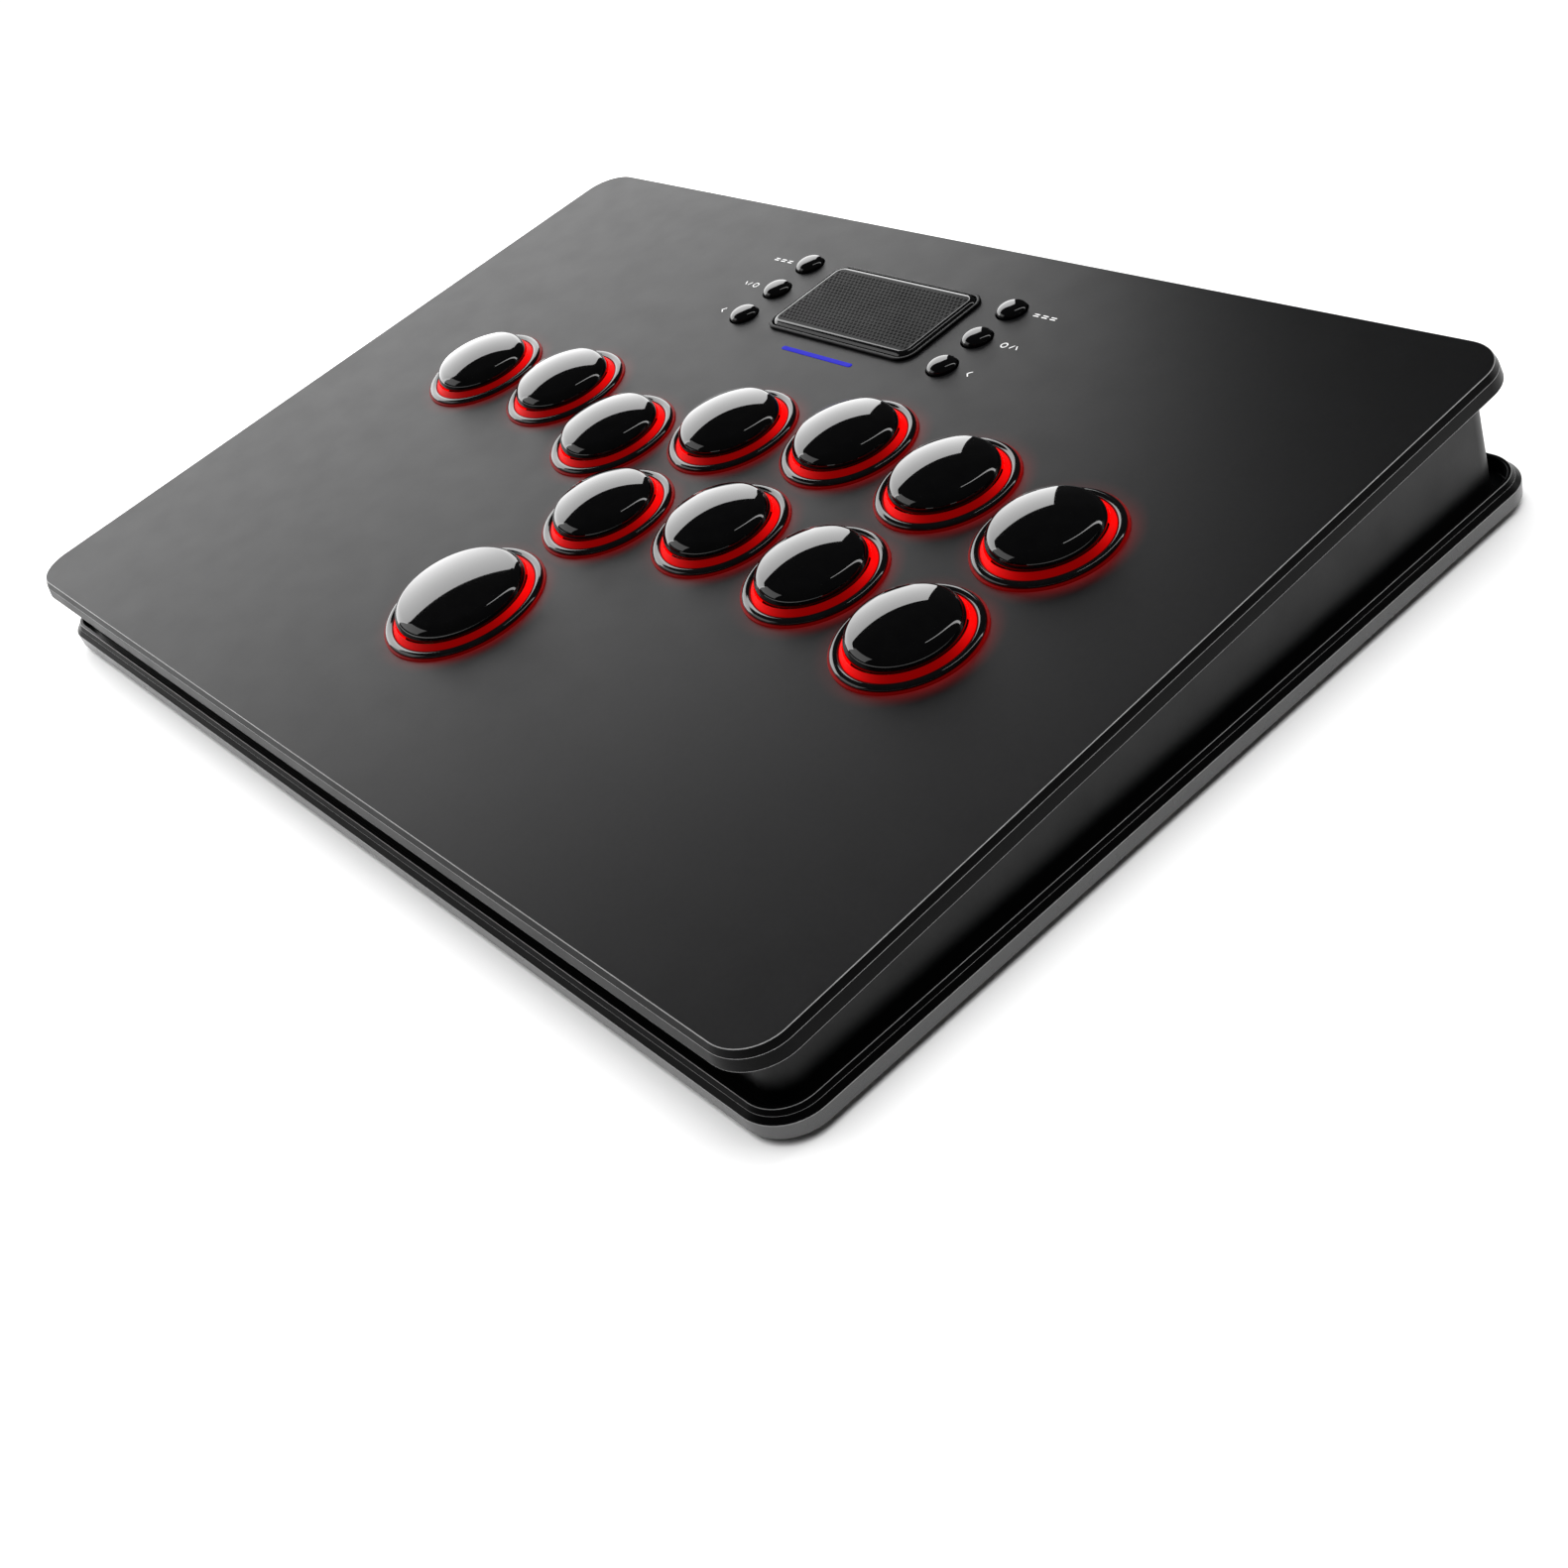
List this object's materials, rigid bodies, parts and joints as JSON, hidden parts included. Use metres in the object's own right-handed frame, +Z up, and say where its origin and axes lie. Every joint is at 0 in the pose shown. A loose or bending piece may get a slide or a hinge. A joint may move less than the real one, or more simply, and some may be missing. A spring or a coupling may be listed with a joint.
{
  "type": "all-button arcade controller",
  "caption": "Wedge-shaped black arcade control panel with large domed lit push buttons in place of a stick, small option buttons, a click touchpad and a status light.",
  "frame": {"origin": "on the table under the middle of the controller, at the lowest point of its rubber feet", "axes": "+X to the user's right along the long side, +Y away from the user towards the raised back edge, +Z up"},
  "size_m": [0.308, 0.2109, 0.0373],
  "materials": {
    "panel_black": "satin black powder coat",
    "wall_black": "fine matt moulded texture",
    "base_black": "satin black",
    "foot_rubber": "matt",
    "screw_steel": "blackened",
    "gloss_black": "polished",
    "cap_gloss": "polished",
    "red_glow": "diffusing, lit from below",
    "red_gasket": "translucent ring",
    "blue_glow": "diffusing light guide",
    "pad_black": "fine dotted texture with a gloss rim",
    "board_green": "solder mask",
    "chip_black": "moulded",
    "switch_dark": "moulded",
    "stem_red": "moulded",
    "spring_steel": "drawn wire",
    "socket_steel": "plated"
  },
  "bodies": {
    "case": {"top_plate": "panel_black", "housing": "wall_black", "base_tray": "base_black", "rubber_feet": "foot_rubber", "base_screws": "screw_steel", "bezel_rings": "gloss_black", "light_collars": "red_glow", "glow_gaskets": "red_gasket", "switch_housings": "switch_dark", "main_board": "board_green", "board_screws": "screw_steel", "touchpad_frame": "gloss_black", "status_light": "blue_glow", "usb_socket": "socket_steel", "tact_switches": "switch_dark", "board_components": "chip_black", "switch_spring_left": "spring_steel", "switch_spring_down": "spring_steel", "switch_spring_right": "spring_steel", "switch_spring_upper_1": "spring_steel", "switch_spring_upper_2": "spring_steel", "switch_spring_upper_3": "spring_steel", "switch_spring_upper_4": "spring_steel", "switch_spring_lower_1": "spring_steel", "switch_spring_lower_2": "spring_steel", "switch_spring_lower_3": "spring_steel", "switch_spring_lower_4": "spring_steel", "switch_spring_jump": "spring_steel"},
    "button_left": {"button_cap_left": "cap_gloss", "switch_stem_left": "stem_red"},
    "button_down": {"button_cap_down": "cap_gloss", "switch_stem_down": "stem_red"},
    "button_right": {"button_cap_right": "cap_gloss", "switch_stem_right": "stem_red"},
    "button_upper_1": {"button_cap_upper_1": "cap_gloss", "switch_stem_upper_1": "stem_red"},
    "button_upper_2": {"button_cap_upper_2": "cap_gloss", "switch_stem_upper_2": "stem_red"},
    "button_upper_3": {"button_cap_upper_3": "cap_gloss", "switch_stem_upper_3": "stem_red"},
    "button_upper_4": {"button_cap_upper_4": "cap_gloss", "switch_stem_upper_4": "stem_red"},
    "button_lower_1": {"button_cap_lower_1": "cap_gloss", "switch_stem_lower_1": "stem_red"},
    "button_lower_2": {"button_cap_lower_2": "cap_gloss", "switch_stem_lower_2": "stem_red"},
    "button_lower_3": {"button_cap_lower_3": "cap_gloss", "switch_stem_lower_3": "stem_red"},
    "button_lower_4": {"button_cap_lower_4": "cap_gloss", "switch_stem_lower_4": "stem_red"},
    "button_jump": {"button_cap_jump": "cap_gloss", "switch_stem_jump": "stem_red"},
    "option_left_1": {"option_button_left_1": "cap_gloss"},
    "option_left_2": {"option_button_left_2": "cap_gloss"},
    "option_left_3": {"option_button_left_3": "cap_gloss"},
    "option_right_1": {"option_button_right_1": "cap_gloss"},
    "option_right_2": {"option_button_right_2": "cap_gloss"},
    "option_right_3": {"option_button_right_3": "cap_gloss"},
    "touchpad": {"touchpad_plate": "pad_black", "touchpad_board": "board_green"}
  },
  "joints": [
    {"name": "press_left", "type": "slide", "parent": "case", "child": "button_left", "axis": [0, 0.0552, -0.9985], "range_m": [0, 0.0024], "stiffness_N_per_m": 300, "springref_m": -0.001, "deforming": ["switch_spring_left"]},
    {"name": "press_down", "type": "slide", "parent": "case", "child": "button_down", "axis": [0, 0.0552, -0.9985], "range_m": [0, 0.0024], "stiffness_N_per_m": 300, "springref_m": -0.001, "deforming": ["switch_spring_down"]},
    {"name": "press_right", "type": "slide", "parent": "case", "child": "button_right", "axis": [0, 0.0552, -0.9985], "range_m": [0, 0.0024], "stiffness_N_per_m": 300, "springref_m": -0.001, "deforming": ["switch_spring_right"]},
    {"name": "press_upper_1", "type": "slide", "parent": "case", "child": "button_upper_1", "axis": [0, 0.0552, -0.9985], "range_m": [0, 0.0024], "stiffness_N_per_m": 300, "springref_m": -0.001, "deforming": ["switch_spring_upper_1"]},
    {"name": "press_upper_2", "type": "slide", "parent": "case", "child": "button_upper_2", "axis": [0, 0.0552, -0.9985], "range_m": [0, 0.0024], "stiffness_N_per_m": 300, "springref_m": -0.001, "deforming": ["switch_spring_upper_2"]},
    {"name": "press_upper_3", "type": "slide", "parent": "case", "child": "button_upper_3", "axis": [0, 0.0552, -0.9985], "range_m": [0, 0.0024], "stiffness_N_per_m": 300, "springref_m": -0.001, "deforming": ["switch_spring_upper_3"]},
    {"name": "press_upper_4", "type": "slide", "parent": "case", "child": "button_upper_4", "axis": [0, 0.0552, -0.9985], "range_m": [0, 0.0024], "stiffness_N_per_m": 300, "springref_m": -0.001, "deforming": ["switch_spring_upper_4"]},
    {"name": "press_lower_1", "type": "slide", "parent": "case", "child": "button_lower_1", "axis": [0, 0.0552, -0.9985], "range_m": [0, 0.0024], "stiffness_N_per_m": 300, "springref_m": -0.001, "deforming": ["switch_spring_lower_1"]},
    {"name": "press_lower_2", "type": "slide", "parent": "case", "child": "button_lower_2", "axis": [0, 0.0552, -0.9985], "range_m": [0, 0.0024], "stiffness_N_per_m": 300, "springref_m": -0.001, "deforming": ["switch_spring_lower_2"]},
    {"name": "press_lower_3", "type": "slide", "parent": "case", "child": "button_lower_3", "axis": [0, 0.0552, -0.9985], "range_m": [0, 0.0024], "stiffness_N_per_m": 300, "springref_m": -0.001, "deforming": ["switch_spring_lower_3"]},
    {"name": "press_lower_4", "type": "slide", "parent": "case", "child": "button_lower_4", "axis": [0, 0.0552, -0.9985], "range_m": [0, 0.0024], "stiffness_N_per_m": 300, "springref_m": -0.001, "deforming": ["switch_spring_lower_4"]},
    {"name": "press_jump", "type": "slide", "parent": "case", "child": "button_jump", "axis": [0, 0.0552, -0.9985], "range_m": [0, 0.0024], "stiffness_N_per_m": 300, "springref_m": -0.001, "deforming": ["switch_spring_jump"]},
    {"name": "press_option_left_1", "type": "slide", "parent": "case", "child": "option_left_1", "axis": [0, 0.0552, -0.9985], "range_m": [0, 0.0005], "stiffness_N_per_m": 1200, "springref_m": -0.0004},
    {"name": "press_option_left_2", "type": "slide", "parent": "case", "child": "option_left_2", "axis": [0, 0.0552, -0.9985], "range_m": [0, 0.0005], "stiffness_N_per_m": 1200, "springref_m": -0.0004},
    {"name": "press_option_left_3", "type": "slide", "parent": "case", "child": "option_left_3", "axis": [0, 0.0552, -0.9985], "range_m": [0, 0.0005], "stiffness_N_per_m": 1200, "springref_m": -0.0004},
    {"name": "press_option_right_1", "type": "slide", "parent": "case", "child": "option_right_1", "axis": [0, 0.0552, -0.9985], "range_m": [0, 0.0005], "stiffness_N_per_m": 1200, "springref_m": -0.0004},
    {"name": "press_option_right_2", "type": "slide", "parent": "case", "child": "option_right_2", "axis": [0, 0.0552, -0.9985], "range_m": [0, 0.0005], "stiffness_N_per_m": 1200, "springref_m": -0.0004},
    {"name": "press_option_right_3", "type": "slide", "parent": "case", "child": "option_right_3", "axis": [0, 0.0552, -0.9985], "range_m": [0, 0.0005], "stiffness_N_per_m": 1200, "springref_m": -0.0004},
    {"name": "press_touchpad", "type": "slide", "parent": "case", "child": "touchpad", "axis": [0, 0.0552, -0.9985], "range_m": [0, 0.0004], "stiffness_N_per_m": 3000, "springref_m": -0.0003}
  ]
}
